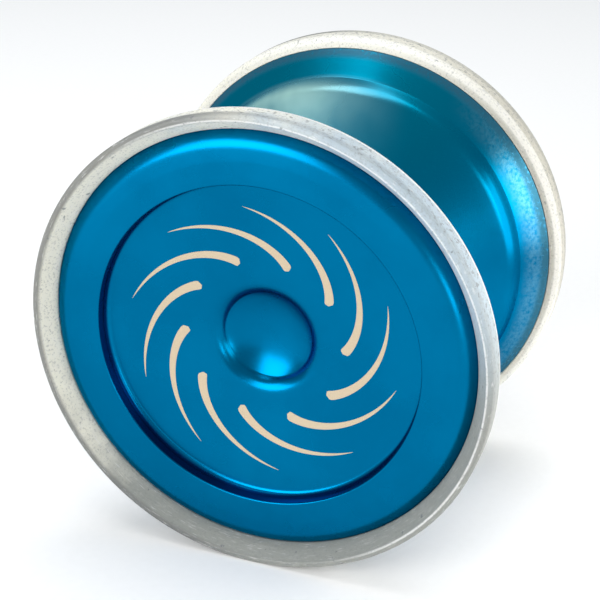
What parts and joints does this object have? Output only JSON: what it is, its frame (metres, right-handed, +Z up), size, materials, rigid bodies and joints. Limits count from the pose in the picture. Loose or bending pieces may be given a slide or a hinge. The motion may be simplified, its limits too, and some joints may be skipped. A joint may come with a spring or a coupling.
{
  "type": "yo yo",
  "caption": "Round ball-bearing yo-yo, two anodised metal halves with frosted clear plastic rims joined by a screwed axle.",
  "frame": {"origin": "centre of the yo-yo, on its axis midway between the halves", "axes": "+Y along the yo-yo's axis towards the rear half, the front face looks to -Y, +Z up as it stands on its rims"},
  "size_m": [0.0558, 0.041, 0.0558],
  "materials": {
    "anodised_aluminium": "satin blue anodised",
    "clear_plastic": "frosted clear polycarbonate, scuffed",
    "silicone": "matte",
    "black_steel": "black oxide",
    "cage_steel": "pressed",
    "bearing_steel": "polished"
  },
  "bodies": {
    "front_half": {"front_body": "anodised_aluminium", "front_face_cap": "anodised_aluminium", "front_rim": "clear_plastic", "front_response_pad": "silicone", "axle": "black_steel"},
    "inner_race": {"bearing_inner_race": "bearing_steel"},
    "rear_half": {"rear_body": "anodised_aluminium", "rear_face_cap": "anodised_aluminium", "rear_rim": "clear_plastic", "rear_response_pad": "silicone"},
    "outer_race": {"bearing_outer_race": "bearing_steel", "front_shield": "bearing_steel", "rear_shield": "bearing_steel", "front_shield_clip": "bearing_steel", "rear_shield_clip": "bearing_steel"},
    "ball_cage": {"bearing_cage": "cage_steel", "bearing_ball_1": "bearing_steel", "bearing_ball_2": "bearing_steel", "bearing_ball_3": "bearing_steel", "bearing_ball_4": "bearing_steel", "bearing_ball_5": "bearing_steel", "bearing_ball_6": "bearing_steel", "bearing_ball_7": "bearing_steel", "bearing_ball_8": "bearing_steel"}
  },
  "joints": [
    {"name": "rear_half_unscrew", "type": "hinge", "parent": "front_half", "child": "inner_race", "pos_m": [0, 0, 0], "axis": [0, 1, 0], "range_deg": [0, 3600]},
    {"name": "rear_half_advance", "type": "slide", "parent": "inner_race", "child": "rear_half", "axis": [0, 1, 0], "range_m": [0, 0.00701]},
    {"name": "bearing_spin", "type": "hinge", "parent": "inner_race", "child": "outer_race", "pos_m": [0, 0, 0], "axis": [0, 1, 0], "continuous": true},
    {"name": "cage_orbit", "type": "hinge", "parent": "inner_race", "child": "ball_cage", "pos_m": [0, 0, 0], "axis": [0, 1, 0], "continuous": true}
  ],
  "couplings": [
    {"joint": "rear_half_advance", "follows": "rear_half_unscrew", "m_per_rad": 0.00011141},
    {"joint": "cage_orbit", "follows": "bearing_spin", "ratio": 0.5833}
  ]
}
